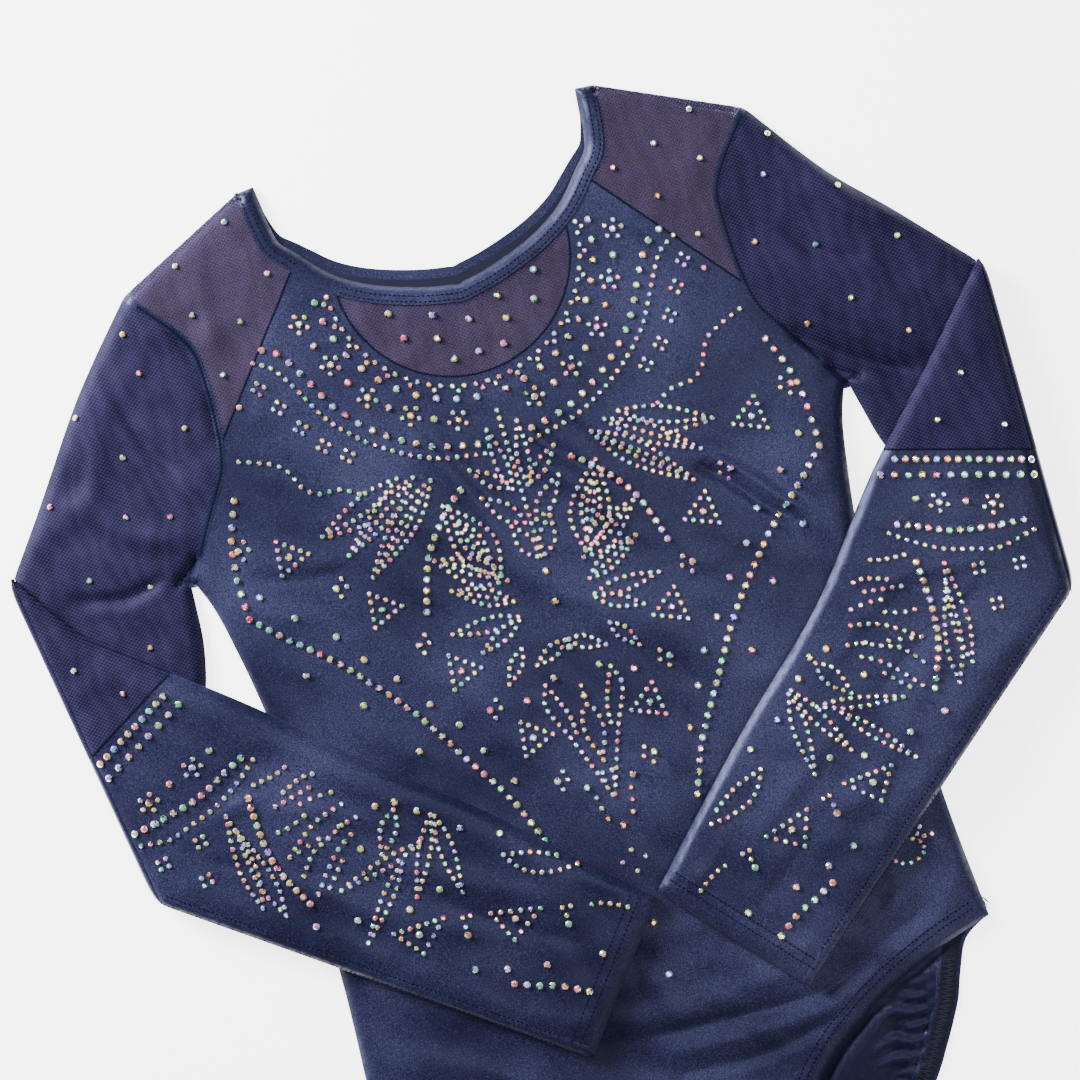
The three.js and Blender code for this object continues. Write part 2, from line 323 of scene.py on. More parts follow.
def free_edges(pieces, side="top"):
    """(starts, ends) of a level's free edges, and of its edges at the elbow folds."""
    outlines = [flowing(o, 3 * CLOTH_POINTS) for p in pieces for o in face_outlines(p, side)]
    kept = {"free": [], "fold": []}
    for number, outline in enumerate(outlines):
        ahead = np.roll(outline, -1, 0)
        along = ahead - outline
        span = np.linalg.norm(along, axis=1)[:, None]
        out = np.stack([along[:, 1], -along[:, 0]], 1) / (span + 1e-12)
        beyond = (outline + ahead) / 2 + JOIN_GAP * out
        joined = np.zeros(len(outline), bool)
        for other, neighbour in enumerate(outlines):
            if other != number:
                joined |= inside(beyond, neighbour)
        at_fold = np.zeros(len(outline), bool)
        for place, direction in fold_lines.values():
            offset = (outline + ahead) / 2 - place
            across = offset[:, 0] * direction[1] - offset[:, 1] * direction[0]
            runs_along = abs(along @ direction) > 0.98 * span[:, 0]
            at_fold |= (abs(across) < 1.0 * MM) & runs_along
        for kind, chosen in (("fold", at_fold & ~joined), ("free", ~at_fold & ~joined)):
            kept[kind].append((outline[chosen], ahead[chosen]))
    return {
        kind: tuple(np.concatenate([pair[i] for pair in pairs]) for i in (0, 1))
        for kind, pairs in kept.items()
    }


body_edges = free_edges(FRONT_PIECES + SLEEVE_PIECES)
back_edges = free_edges(BACK_PIECES + SLEEVE_PIECES, "bottom")


def bow(t):
    """Rises round from 0 at a free edge to 1 further in."""
    t = np.clip(t, 0, 1)
    return np.sqrt(1 - (1 - t) ** 2)


def smooth_path(points, steps=8):
    """A flowing line through a few points."""
    points = np.array(points, float)
    path = []
    for i in range(len(points) - 1):
        before = points[max(i - 1, 0)]
        start, end = points[i], points[i + 1]
        after = points[min(i + 2, len(points) - 1)]
        for t in np.arange(0, 1, 1 / steps):
            lean = (end - before) * t + (2 * before - 5 * start + 4 * end - after) * t**2
            path.append(start + (lean + (3 * (start - end) + after - before) * t**3) / 2)
    path.append(points[-1])
    return np.array(path)


# a fold is followed out to this many half widths, and fades over this share of its length
FOLD_REACHES = 3.2
FADED_END = 0.3


def fold_relief(points, folds, place):
    """Height that a list of folds adds at each point: round ridges and hollows with faded ends."""
    relief = np.zeros(len(points))
    for line, half_width, height in folds:
        path = np.array([place(*p) for p in smooth_path(line)])
        reach = FOLD_REACHES * half_width * MM
        near = np.all((points > path.min(0) - reach) & (points < path.max(0) + reach), axis=1)
        if not near.any():
            continue
        some = points[near]
        starts, ends = path[:-1], path[1:]
        along = ends - starts
        t = ((some[:, None] - starts) * along).sum(2) / (along**2).sum(1)
        t = np.clip(t, 0, 1)
        gap = np.linalg.norm(some[:, None] - starts - t[..., None] * along, axis=2)
        which = gap.argmin(1)
        row = np.arange(len(some))
        progress = (which + t[row, which]) / len(starts)
        fade = np.clip(np.minimum(progress, 1 - progress) / FADED_END, 0, 1)
        fade = fade * fade * (3 - 2 * fade)
        profile = np.exp(-((gap[row, which] / (half_width * MM)) ** 2))
        relief[near] += height * MM * fade * profile
    return relief


BACK_REST = 0.6 * MM
BACK_LIFT = 0.5 * MM
FOLD_LIFT = 3.0 * MM
EDGE_ROUNDING = 5.5 * MM

GATHER = 3.4 * MM
LEG_EDGE = [flowing(o) for side in ("right", "left") for o in face_outlines(f"{side}_leg_hem", "top")]
LEG_EDGE.append(flowing(face_outlines("front_body", "top")[0]))

# the wrinkles that the leg elastic gathers: line (across, down), half width and height, all in mm
RUCHES = []
for sign in (1, -1):
    for k, wobble in enumerate((0, 2, -1, 1.5, -2, 0.5, 2, -1, 1, 0, 2, -1)):
        down = 7.3 * k
        RUCHES.append(([
            (sign * (96 - 2.1 * k + wobble), 473 + down), (sign * (108 - 2.1 * k), 470.5 + down + wobble),
            (sign * (119 - 2.3 * k), 474 + down), (sign * (131 - 2.4 * k), 470 + down),
        ], 1.1, -3.2))


def edge_drop(points, edge, rounding=EDGE_ROUNDING):
    """1 at an edge, falling round to 0 where the cloth lies level."""
    return 1 - bow(distance_to(points, *edge) / rounding)


def back_under(points):
    """Height of the lowest layer, which lifts a little at its edges and rolls up at the folds."""
    free = edge_drop(points, back_edges["free"])
    fold = edge_drop(points, back_edges["fold"])
    level = BACK_REST + BACK_LIFT * free + FOLD_LIFT * fold
    bare = (points[:, 1] < lay(0, 440)[1]) & ~np.any([inside(points, o) for o in LEG_EDGE], axis=0)
    if bare.any():
        some = points[bare]
        clear = np.min([distance_to(some, o, np.roll(o, -1, 0)) for o in LEG_EDGE], axis=0)
        clear = np.minimum(clear, 0.7 * distance_to(some, *back_edges["free"]))
        puff = np.clip(clear / (7 * MM), 0, 1) ** 1.5
        level[bare] += puff * (GATHER + fold_relief(some, RUCHES, lay))
    return level


def add_nodes(material, *kinds):
    return [material.node_tree.nodes.new(kind) for kind in kinds]


def cloth_colours(material, texture, stops):
    """Lets a texture choose between the cloth's shades, from dark to light."""
    ramp, = add_nodes(material, "ShaderNodeValToRGB")
    ramp.color_ramp.elements[0].position = stops[0][0]
    ramp.color_ramp.elements[0].color = (*stops[0][1], 1)
    ramp.color_ramp.elements[1].position = stops[-1][0]
    ramp.color_ramp.elements[1].color = (*stops[-1][1], 1)
    for position, colour in stops[1:-1]:
        ramp.color_ramp.elements.new(position).color = (*colour, 1)
    material.node_tree.links.new(texture, ramp.inputs["Fac"])
    return ramp.outputs["Color"]


def grain(material, coarseness, detail=2.0):
    """Speckle of a set size in metres, fixed to the cloth."""
    place, noise = add_nodes(material, "ShaderNodeTexCoord", "ShaderNodeTexNoise")
    tune(noise, {"Scale": 1 / coarseness, "Detail": detail, "Roughness": 0.6})
    material.node_tree.links.new(place.outputs["Object"], noise.inputs["Vector"])
    return noise.outputs["Fac"]


def bump(material, texture, strength, depth):
    node, = add_nodes(material, "ShaderNodeBump")
    tune(node, {"Strength": strength, "Distance": depth})
    links = material.node_tree.links
    links.new(texture, node.inputs["Height"])
    links.new(node.outputs["Normal"], surface(material).inputs["Normal"])


def mixed(material, broad, share, fine):
    """A fine texture with a share of a broad one added to it."""
    node, = add_nodes(material, "ShaderNodeMath")
    node.operation = "MULTIPLY_ADD"
    node.inputs[1].default_value = share
    material.node_tree.links.new(broad, node.inputs[0])
    material.node_tree.links.new(fine, node.inputs[2])
    return node.outputs["Value"]


def scaled(material, texture, factor):
    node, = add_nodes(material, "ShaderNodeMath")
    node.operation = "MULTIPLY"
    node.inputs[1].default_value = factor
    material.node_tree.links.new(texture, node.inputs[0])
    return node.outputs["Value"]


def satin(name, dark, middle, light):
    """Satin-faced spandex: a dense dark ground, a fine silvery sparkle of yarn and a broad painted sheen.
    """
    made = plain_material(name, middle, 0.4)
    tune(surface(made), {
        "Sheen Weight": 0.05, "Sheen Roughness": 0.35, "Sheen Tint": (0.62, 0.68, 1.0, 1),
        "Specular IOR Level": 0.3, "Specular Tint": (0.46, 0.5, 0.85, 1)})
    speckle = grain(made, 0.6 * MM, 4)
    # a broad soft noise lightens and darkens the satin in patches: painted sheen
    tone = mixed(made, grain(made, 60 * MM, 0), 0.3, speckle)
    colour = cloth_colours(made, tone, [(0.48, dark), (0.65, middle), (0.88, light)])
    made.node_tree.links.new(colour, surface(made).inputs["Base Color"])
    bump(made, speckle, 0.35, 0.12 * MM)
    return made


navy_satin = satin(
    "navy_satin", (0.0018, 0.0018, 0.008), (0.0078, 0.0080, 0.0275), (0.042, 0.043, 0.10))
# the reverse of the satin for the back's inner face: duller than the face, and darker as painted shade
# for the inside of the garment
shaded_reverse_satin = satin(
    "navy_satin_reverse_shaded", (0.001, 0.001, 0.005), (0.003, 0.003, 0.0135), (0.014, 0.015, 0.045))


# a wave texture of scale 1 repeats every 0.314 m
WAVE_SCALE = 0.314
MOIRE = 9 * MM


def net(name, yarn, hole, pitch, see_through=None):
    """Power mesh: two slanting sets of yarns with holes between them."""
    made = plain_material(name, yarn, 0.6)
    tune(surface(made), {"Specular IOR Level": 0.2, "Specular Tint": (0.5, 0.45, 0.9, 1)})
    links = made.node_tree.links
    place, = add_nodes(made, "ShaderNodeTexCoord")
    waves = []
    for turn in (0.9, -0.9):
        turned, wave = add_nodes(made, "ShaderNodeMapping", "ShaderNodeTexWave")
        tune(turned, {"Rotation": (0, 0, turn)})
        tune(wave, {"Scale": WAVE_SCALE / pitch, "Distortion": 0.4, "Detail": 1})
        links.new(place.outputs["Object"], turned.inputs["Vector"])
        links.new(turned.outputs["Vector"], wave.inputs["Vector"])
        waves.append(wave.outputs["Fac"])
    crossing = mixed(made, waves[0], 1.0, waves[1])
    moire, = add_nodes(made, "ShaderNodeTexWave")
    tune(moire, {"Scale": WAVE_SCALE / MOIRE, "Distortion": 9})
    links.new(place.outputs["Object"], moire.inputs["Vector"])
    yarns = mixed(made, crossing, 0.25, scaled(made, grain(made, 1.6 * MM), 0.3))
    tone = mixed(made, grain(made, 34 * MM, 1), 0.3, yarns)
    tone = mixed(made, moire.outputs["Fac"], 0.08, tone)
    colour = cloth_colours(made, tone, [(0.42, hole), (0.8, yarn)])
    links.new(colour, surface(made).inputs["Base Color"])
    bump(made, crossing, 0.3, 0.1 * MM)
    if see_through:
        cover, = add_nodes(made, "ShaderNodeMapRange")
        tune(cover, {"From Min": 0.2, "From Max": 0.6, "To Min": see_through[0],
                     "To Max": see_through[1]})
        links.new(yarns, cover.inputs["Value"])
        links.new(cover.outputs["Result"], surface(made).inputs["Alpha"])
    return made


navy_mesh = net("navy_mesh", (0.019, 0.016, 0.052), (0.002, 0.0016, 0.009), 1.5 * MM)
sheer_mesh = net("sheer_mesh", (0.034, 0.026, 0.070), (0.010, 0.007, 0.022), 1.5 * MM, (0.4, 0.86))

# from above the back shows its inner face, in the darker reverse satin that paints the shade inside the
# garment
back_panel = cloth_piece(
    "back_panel", shaded_reverse_satin, [(face_outlines("back_body", "bottom")[0], back_under, True)])
back_panel.data.materials.append(navy_satin)
back_panel.modifiers[0].material_offset = 1
declare(back_panel, "torso", ["back_body"])
back_yoke = cloth_piece(
    "back_yoke", sheer_mesh, [(face_outlines("back_yoke_mesh", "bottom")[0], back_under, True)])
declare(back_yoke, "torso", ["back_yoke_mesh"])


# ---- Front panel ----
# One piece of the same spandex from the neckline to the crotch. It lies on the back panel, thins out
# to nothing at the side seams, and is crossed by the folds that laying it down has left.

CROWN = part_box("front_body")[1][2] - 1.5 * MM
FREE_EDGE = 1.5 * MM
PUFF_REACH = 2.6 * MM

# each fold: the line it runs along (across, down), its half width and its height, all in mm
BODY_FOLDS = [
    ([(-100, 150), (-40, 196), (30, 262)], 7, 1.12),
    ([(-52, 128), (-30, 170), (-8, 222)], 4, 1.28),
    ([(-38, 140), (-22, 168), (-10, 196)], 2.2, -1.12),
    ([(-4, 148), (28, 192), (62, 236)], 5, 1.44),
    ([(6, 150), (30, 178), (52, 203)], 2.2, -1.28),
    ([(22, 140), (60, 178), (96, 206)], 4.5, 1.28),
    ([(60, 176), (84, 195), (98, 206)], 1.8, -0.96),
    ([(85, 196), (99, 207), (117, 229), (132, 241)], 1.7, -4.16),
    ([(90, 190), (106, 205), (124, 226), (137, 238)], 2.8, 2.72),
    ([(144, 141), (182, 172), (209, 186)], 3.2, -3.68),
    ([(150, 132), (188, 160), (215, 178)], 5, 2.56),
    ([(160, 90), (176, 112), (200, 124)], 3, -1.92),
    ([(182, 62), (196, 92), (226, 118)], 6, 1.92),
    ([(-150, 44), (-140, 70), (-138, 100), (-141, 125)], 2.2, -2.08),
    ([(-128, 30), (-124, 52), (-128, 78)], 6, 1.28),
    ([(-222, 120), (-190, 150), (-160, 158)], 6, 2.24),
    ([(-236, 170), (-205, 178), (-180, 172)], 3, -2.56),
    ([(-182, 60), (-176, 100), (-160, 130)], 3, -2.08),
    ([(-196, 70), (-198, 104), (-214, 136)], 6, 1.28),
    ([(-10, 230), (40, 262), (74, 300)], 9, 1.12),
    ([(-150, 176), (-120, 186), (-80, 188)], 6, 1.28),
    ([(-146, 186), (-118, 195), (-92, 196)], 2.5, -0.8),
    ([(-107, 131), (-108, 141), (-104, 150)], 1.8, -1.12),
    ([(150, 168), (120, 176), (96, 172)], 6, 1.12),
    ([(-124, 232), (-70, 262), (-30, 300)], 11, 0.96),
    ([(126, 250), (90, 286), (58, 330)], 12, 0.96),
    ([(-38, 240), (-30, 290), (-18, 350)], 9, 0.8),
    ([(10, 300), (24, 340), (12, 385)], 8, 0.8),
    ([(-150, 404), (-90, 428), (-40, 440)], 9, 1.44),
    ([(-60, 452), (0, 456), (60, 452), (120, 424)], 7, 1.6),
    ([(-40, 462), (20, 467), (70, 468), (112, 454)], 2.6, -1.76),
    ([(-30, 474), (26, 478), (72, 476), (104, 464)], 4.5, 1.76),
    ([(-20, 487), (40, 489), (82, 478)], 2.4, -1.6),
    ([(-70, 470), (-20, 500), (10, 540)], 9, 1.28),
    ([(70, 448), (100, 446), (140, 424)], 6, 1.44),
    ([(64, 462), (96, 456), (150, 438)], 3, -0.96),
    ([(118, 404), (122, 426), (116, 446)], 6, 0.96),
    ([(-130, 440), (-96, 462), (-60, 498)], 6, 1.28),
    ([(-112, 456), (-84, 476), (-56, 510)], 2.6, -1.12),
    ([(-44, 128), (0, 136), (46, 128)], 5, 0.64),
    ([(-88, 60), (-104, 90), (-118, 118)], 5, 0.8),
    ([(88, 62), (106, 92), (122, 120)], 5, 0.8),
]


def slack(points, seed, size=0.35 * MM):
    """The broad, shallow unevenness of cloth that isn't pulled tight."""
    dice = random.Random(seed)
    height = np.zeros(len(points))
    for _ in range(7):
        heading = dice.uniform(0, math.pi)
        wave = 2 * math.pi / dice.uniform(0.035, 0.11)
        phase = dice.uniform(0, 2 * math.pi)
        ahead = points @ np.array([math.cos(heading), math.sin(heading)])
        height += size * dice.uniform(0.3, 1) * np.sin(wave * ahead + phase) / 2
    return height


DRAPE_GRID = 5 * MM
DRAPE_GROWTH = 0.04
DRAPE_FRAMES = 24
DRAPE_LOWEST = -1.5 * MM
DRAPE_HIGHEST = 2.5 * MM
drape = {}


def settle(nodes, edges):
    """Lets a slightly oversized cloth sink onto a flat board and returns the heights it keeps."""
    outlines = [outer(node) for node in nodes]
    low = np.min([o.min(0) for o in outlines], axis=0) - DRAPE_GRID
    high = np.max([o.max(0) for o in outlines], axis=0) + DRAPE_GRID
    shape = np.ceil((high - low) / DRAPE_GRID).astype(int) + 1
    i, j = np.meshgrid(np.arange(shape[0]), np.arange(shape[1]), indexing="ij")
    points = low + np.stack([i.ravel(), j.ravel()], 1) * DRAPE_GRID
    covered = np.any([inside(points, let_out(o, 1 * MM)) for o in outlines], axis=0)
    number = np.full(len(points), -1)
    number[covered] = np.arange(covered.sum())
    corners = number.reshape(shape)
    quads = np.stack([corners[:-1, :-1], corners[1:, :-1], corners[1:, 1:], corners[:-1, 1:]], -1)
    quads = quads.reshape(-1, 4)
    quads = quads[(quads >= 0).all(1)]
    flat = points[covered]
    lift = 1.2 * MM + slack(flat, 29, 0.5 * MM)
    mesh = bpy.data.meshes.new("settling cloth")
    mesh.from_pydata(np.column_stack([flat, lift]).tolist(), [], quads.tolist())
    cloth = placed("settling_cloth", mesh)
    held = cloth.vertex_groups.new(name="held")
    near = np.minimum(distance_to(flat, *edges["free"]), distance_to(flat, *edges["fold"]))
    held.add([int(k) for k in np.flatnonzero(near < DRAPE_GRID)], 1.0, "REPLACE")
    bpy.ops.mesh.primitive_plane_add(size=2)
    board = bpy.context.object
    board.modifiers.new("board", "COLLISION")
    board.collision.thickness_outer = 0.3 * MM
    sim = cloth.modifiers.new("cloth", "CLOTH")
    sim.settings.quality = 6
    sim.settings.mass = 0.1
    sim.settings.air_damping = 2
    sim.settings.tension_stiffness = 12
    sim.settings.compression_stiffness = 12
    sim.settings.shear_stiffness = 6
    sim.settings.bending_stiffness = 0.25
    sim.settings.shrink_min = -DRAPE_GROWTH
    sim.settings.vertex_group_mass = "held"
    sim.collision_settings.distance_min = 0.5 * MM
    sim.point_cache.frame_end = DRAPE_FRAMES
    for step in range(1, DRAPE_FRAMES + 1):
        bpy.context.scene.frame_set(step)
    settled = cloth.evaluated_get(bpy.context.evaluated_depsgraph_get())
    heights = np.array([v.co.z for v in settled.data.vertices])
    bpy.context.scene.frame_set(1)
    for used in (cloth, board):
        bpy.data.objects.remove(used)
    field = np.zeros(len(points))
    field[covered] = np.clip(heights - np.median(heights), DRAPE_LOWEST, DRAPE_HIGHEST)
    field = field.reshape(shape)
    for axis in (0, 1):
        field = (np.roll(field, 1, axis) + 2 * field + np.roll(field, -1, axis)) / 4
    return low, DRAPE_GRID, field


def draped(name, points):
    """Height that the simulated cloth has at each point, over its flat shape."""
    if name not in drape:
        return np.zeros(len(points))
    low, step, field = drape[name]
    cell = np.clip((points - low) / step, 0, np.array(field.shape) - 1.001)
    i, j = cell.astype(int).T
    u, v = (cell - cell.astype(int)).T
    near = field[i, j] * (1 - v) + field[i, j + 1] * v
    far = field[i + 1, j] * (1 - v) + field[i + 1, j + 1] * v
    return near * (1 - u) + far * u


def body_top(points):
    """Height of the front layer, over the body and the upper sleeves alike."""
    round_edge = bow(distance_to(points, *body_edges["free"]) / EDGE_ROUNDING)
    relief = fold_relief(points, BODY_FOLDS, lay) + slack(points, 11) + draped("body", points)
    return FREE_EDGE + (CROWN - FREE_EDGE + relief) * round_edge


def front_sheet(node, lift=0.0):
    """The sheet of a piece in the front layer, as cloth_piece takes it."""
    return [(outer(node), lambda p: body_top(p) + lift, True)]


def puffed(outline, height, rise):
    """A height that rises round from an outline, as a folded or rolled edge does."""
    ring = flowing(outline)
    return lambda p: height(p) + rise * bow(distance_to(p, ring, np.roll(ring, -1, 0)) / PUFF_REACH)


drape["body"] = settle(FRONT_PIECES + SLEEVE_PIECES, body_edges)
front_panel = cloth_piece("front_panel", navy_satin, front_sheet("front_body"))
declare(front_panel, "torso", ["front_body"])


# ---- Sheer yokes, neck inset and their nude lining ----
# Navy mesh at both shoulders and in a half round below the neckline. A nude tricot lining behind
# them gives their brownish tone.

lining_cloth = plain_material("nude_tricot", (0.42, 0.27, 0.21), 0.9)
bump(lining_cloth, grain(lining_cloth, 0.7 * MM), 0.3, 0.1 * MM)
LINING_DROP = 1.1 * MM
THIN_CLOTH = 0.3 * MM
for piece_name, node in (("neck_inset", "neck_inset_mesh"), ("right_yoke", "right_shoulder_mesh"),
                         ("left_yoke", "left_shoulder_mesh")):
    yoke = cloth_piece(piece_name, sheer_mesh, front_sheet(node), thickness=THIN_CLOTH)
    declare(yoke, "torso", [node])
lining_outline, lining_height, _ = front_sheet("yoke_lining", -LINING_DROP)[0]
lining_outline = let_out(flowing(lining_outline), 4.5 * MM)
yoke_lining = cloth_piece(
    "yoke_lining_cloth", lining_cloth, [(lining_outline, lining_height, True)],
    2 * CLOTH_POINTS, THIN_CLOTH)
declare(yoke_lining, "torso", ["yoke_lining"])


# ---- Neck binding and elastic ----
# A folded strip of satin, about 10 mm wide, runs round the front and back of the neck, topstitched
# twice. The elastic inside it keeps it close to the skin.

BINDING_WIDTH = 10 * MM
BINDING_LIFT = 0.55 * MM
front_band = outer("neck_binding")
over_binding = puffed(front_band, lambda p: body_top(p) + 0.4 * MM, 0.35 * MM)
binding = cloth_piece(
    "neck_binding_front", navy_satin, [(front_band, over_binding, True)], 1.3 * MM, 0.9 * MM)
declare(binding, "torso", ["neck_binding"], BINDING_WIDTH)
back_band = flowing(outer("neck_binding", "bottom"))
inner_depth = np.clip((NECK_POINTS - back_band[:, 1] - 12 * MM) / (30 * MM), 0, 1)
back_band = back_band + inner_depth[:, None] * (let_out(back_band, 3.5 * MM) - back_band)
back_binding = cloth_piece(
    "neck_binding_back", navy_satin, [(back_band, lambda p: back_under(p) + BINDING_LIFT, True)],
    1.8 * MM, 0.9 * MM)
declare(back_binding, "torso", (), BINDING_WIDTH)


# ---- Side, shoulder and armhole seams ----
# Overlocked seams of stretch thread between the front and the back. They lie inside the garment,
# except at the armholes, where their ridge shows on both faces.

seam_cloth = satin("seam_trim", (0.002, 0.0025, 0.010), (0.005, 0.006, 0.024), (0.02, 0.024, 0.06))
INNER_SEAM = 0.6 * MM
SEAM_WIDTH = 10 * MM


def inner_seam(points):
    """Height of what is sewn to the inner face of the back."""
    return back_under(points) + INNER_SEAM


for side in ("right", "left"):
    for part in ("side_seam", "shoulder_seam"):
        node = f"{side}_{part}"
        outline = outer(node, "bottom")
        seam = cloth_piece(
            f"{node}_allowance", seam_cloth, [(outline, inner_seam, True)], 2 * MM)
        declare(seam, "torso", [node], SEAM_WIDTH)
    node = f"{side}_armhole_seam"
    sign = 1 if side == "left" else -1
    armpit = np.array([lay(sign * x, a) for x, a in ((164, 167), (181, 174), (181, 182), (169, 182))])
    armpit = armpit if signed_area(armpit) > 0 else armpit[::-1]
    ridge = cloth_piece(f"{node}_ridge", seam_cloth, [
        (outer(node), lambda p: body_top(p) + 0.15 * MM, True),
        (outer(node, "bottom"), lambda p: back_under(p) + 0.3 * MM, True),
        (armpit, lambda p: body_top(p) - 0.5 * MM, True),
    ], 1.6 * MM, 0.8 * MM)
    declare(ridge, "torso", [node], SEAM_WIDTH)


# ---- Leg openings ----
# The satin is turned in 12 mm at each leg and sewn twice over a dark elastic. The elastic draws the
# back of the leg together in short wrinkles.

HEM_LIFT = 0.25 * MM
HEM_WIDTH = 12 * MM
elastic_cloth = plain_material("dark_elastic", (0.006, 0.007, 0.02), 0.7)
tune(surface(elastic_cloth), {"Specular IOR Level": 0.15})
bump(elastic_cloth, grain(elastic_cloth, 1.2 * MM), 0.5, 0.2 * MM)
for side in ("right", "left"):
    node = f"{side}_leg_hem"
    hem = cloth_piece(f"{node}_band", navy_satin, [
        (outer(node), lambda p: body_top(p) + HEM_LIFT, True),
        (outer(node, "bottom"), back_under, True),
    ], 2.2 * MM, 0.55 * MM)
    declare(hem, "torso", [node], HEM_WIDTH)
    node = f"{side}_leg_elastic"
    elastic = cloth_piece(
        f"{node}_band", elastic_cloth, [(outer(node, "bottom"), inner_seam, True)], 1.8 * MM, 0.5 * MM)
    declare(elastic, "torso", [node], HEM_WIDTH)
neck_elastic = cloth_piece("neck_elastic_band", elastic_cloth, [
    (outer("neck_elastic", "bottom"), lambda p: back_under(p) + 1.3 * MM, True),
], 1.8 * MM, 0.4 * MM)
declare(neck_elastic, "torso", ["neck_elastic"], SEAM_WIDTH)


# ---- Gusset lining and crotch seam ----
# Nude tricot lines the crotch inside, and one short seam joins the front and the back there.

gusset = cloth_piece(
    "gusset_lining_cloth", lining_cloth, front_sheet("gusset_lining", -LINING_DROP),
    thickness=THIN_CLOTH)
declare(gusset, "torso", ["gusset_lining"])
crotch = cloth_piece("crotch_seam_ridge", seam_cloth, [
    (face_outlines("crotch_seam", "top")[0], lambda p: 0 * p[:, 0] + 2.2 * MM, True),
], 1.6 * MM, 1.6 * MM)
declare(crotch, "torso", ["crotch_seam"], SEAM_WIDTH)


# ---- Upper sleeves ----
# Mesh from the armhole to just below the elbow, with a satin tail where the lower sleeve begins. They
# lie straight on the table and are folded over at the elbow.

for side in ("right", "left"):
    for part, cloth, slot in (("upper_sleeve", navy_mesh, "navy_mesh"),
                              ("sleeve_tail", navy_satin, "navy_satin"),
                              ("upper_underarm_seam", navy_mesh, "seam_trim")):
        node = f"{side}_{part}"
        is_seam = slot == "seam_trim"
        sleeve = cloth_piece(f"{node}_cloth", cloth, [
            (outer(node), body_top, True),
            (outer(node, "bottom"), back_under, True),
        ], 2 * MM if is_seam else CLOTH_POINTS, 0.6 * MM if is_seam else FABRIC)
        declare(sleeve, "torso", [node], SEAM_WIDTH if is_seam else None)


# ---- Lower sleeves ----
# The folded-over lower halves of the sleeves: an elbow of mesh, satin down to the wrist, a turned cuff
# and the long seam under the arm, which shows as a rolled edge.

FOREARM_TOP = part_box("right_forearm_sleeve")[1][2] - 0.9 * MM
FOREARM_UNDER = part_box("right_forearm_sleeve")[0][2] + 0.6 * MM
FOREARM_FREE = FOREARM_UNDER + 1.5 * MM
FOREARM_FOLD = FOREARM_TOP - 3.0 * MM
SLEEVE_ROUNDING = 4.5 * MM
forearm_edges = {
    side: free_edges([f"{side}_{part}" for part in FOREARM_PIECES]) for side in ("right", "left")}

# as for the body, but each line is given along the sleeve from the cuff and across it from its upper edge
FOREARM_FOLDS = {
    "right": [
        ([(30, 22), (90, 30), (150, 34)], 6, 1.12),
        ([(60, 50), (130, 58), (200, 50)], 7, 1.12),
        ([(20, 40), (60, 44), (110, 42)], 3.5, -0.8),
        ([(120, 12), (170, 18), (224, 30)], 5, 0.96),
        ([(190, 8), (214, 32), (232, 60)], 4, 0.96),
        ([(140, 44), (180, 52), (226, 62)], 2.6, -0.8),
        ([(4, 6), (20, 10), (52, 10)], 3, 0.8),
    ],
    "left": [
        ([(26, 24), (90, 30), (150, 30)], 6, 1.12),
        ([(50, 58), (130, 60), (204, 48)], 7, 1.12),
        ([(16, 46), (64, 50), (118, 46)], 3.5, -0.8),
        ([(110, 10), (170, 14), (228, 22)], 5, 0.96),
        ([(186, 6), (208, 30), (236, 58)], 4, 0.96),
        ([(134, 40), (180, 46), (222, 60)], 2.6, -0.8),
        ([(6, 8), (22, 14), (54, 14)], 3, 0.8),
    ],
}


def along_forearm(side, along, across):
    """Place on a lower sleeve: mm from the cuff along it and mm from its upper edge across it."""
    if side == "left":
        return lay(6.5 + 0.754 * along + 0.657 * across, 395 - 0.657 * along + 0.754 * across)
    across = across - 9.5 + 0.078 * along
    return lay(5 - 0.780 * along - 0.626 * across, 398 - 0.626 * along + 0.780 * across)


def forearm_top(side):
    def height(points):
        free = edge_drop(points, forearm_edges[side]["free"], SLEEVE_ROUNDING)
        fold = edge_drop(points, forearm_edges[side]["fold"])
        place = functools.partial(along_forearm, side)
        relief = fold_relief(points, FOREARM_FOLDS[side], place) + slack(points, len(side))
        relief = (relief + draped(side, points)) * np.minimum(1 - free, 1 - fold)
        free_drop = (FOREARM_TOP - FOREARM_FREE) * free
        return FOREARM_TOP - np.maximum(free_drop, (FOREARM_TOP - FOREARM_FOLD) * fold) + relief
    return height


def forearm_under(points):
    return 0 * points[:, 0] + FOREARM_UNDER


for side in ("right", "left"):
    body = f"{side}_forearm"
    drape[side] = settle([f"{side}_{part}" for part in FOREARM_PIECES], forearm_edges[side])
    for part, cloth, slot, lift in (("elbow_mesh", navy_mesh, "navy_mesh", 0),
                                    ("forearm_sleeve", navy_satin, "navy_satin", 0),
                                    ("cuff_hem", navy_satin, "navy_satin", 0.3 * MM),
                                    ("forearm_seam", navy_satin, "seam_trim", -0.8 * MM)):
        node = f"{side}_{part}"
        top = forearm_top(side)
        rise = 1.9 * MM if part == "forearm_seam" else 0
        sheets = [
            (outer(node), puffed(outer(node), lambda p: top(p) + lift, rise), True),
            (outer(node, "bottom"), forearm_under, True),
        ]
        sleeve = cloth_piece(f"{node}_cloth", cloth, sheets)
        declare(sleeve, body, [node], SEAM_WIDTH if part == "forearm_seam" else None)


# ---- Elbow folds ----
# At each elbow the sleeve's outer layer turns over the outside of the fold, so that it runs on unbroken
# from the upper sleeve to the lower one.

FOLD_BULGE = 3 * MM
FOLD_TAPER = 14 * MM
FOLD_LOW = BACK_REST + FOLD_LIFT - FABRIC / 2


